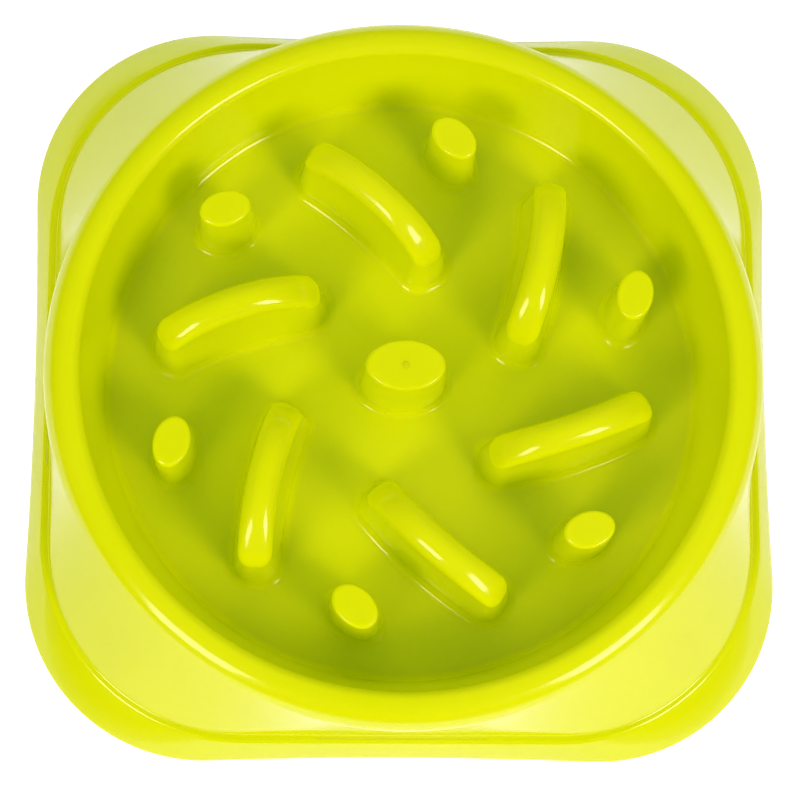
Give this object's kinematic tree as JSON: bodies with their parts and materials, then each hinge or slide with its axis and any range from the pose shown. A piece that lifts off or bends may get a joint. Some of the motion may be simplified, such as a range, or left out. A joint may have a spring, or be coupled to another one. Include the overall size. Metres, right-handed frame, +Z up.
{
  "type": "slow feeder bowl",
  "caption": "Squared slow feeder bowl in glossy lime plastic: a round dish with a ring of bent vanes, oval pegs and a middle post, on press-in rubber feet.",
  "frame": {"origin": "on the table, straight below the middle of the bowl", "axes": "+Z up out of the bowl's mouth; +X towards the right side and +Y towards the rear side, both square to the straight sides of the base"},
  "size_m": [0.25, 0.25, 0.0442],
  "materials": {
    "bowl_plastic": "glossy, slightly translucent lime green",
    "foot_rubber": "matt light grey"
  },
  "bodies": {
    "root": {"bowl": "bowl_plastic", "foot_front_left": "foot_rubber", "foot_front_right": "foot_rubber", "foot_rear_left": "foot_rubber", "foot_rear_right": "foot_rubber"}
  },
  "joints": []
}
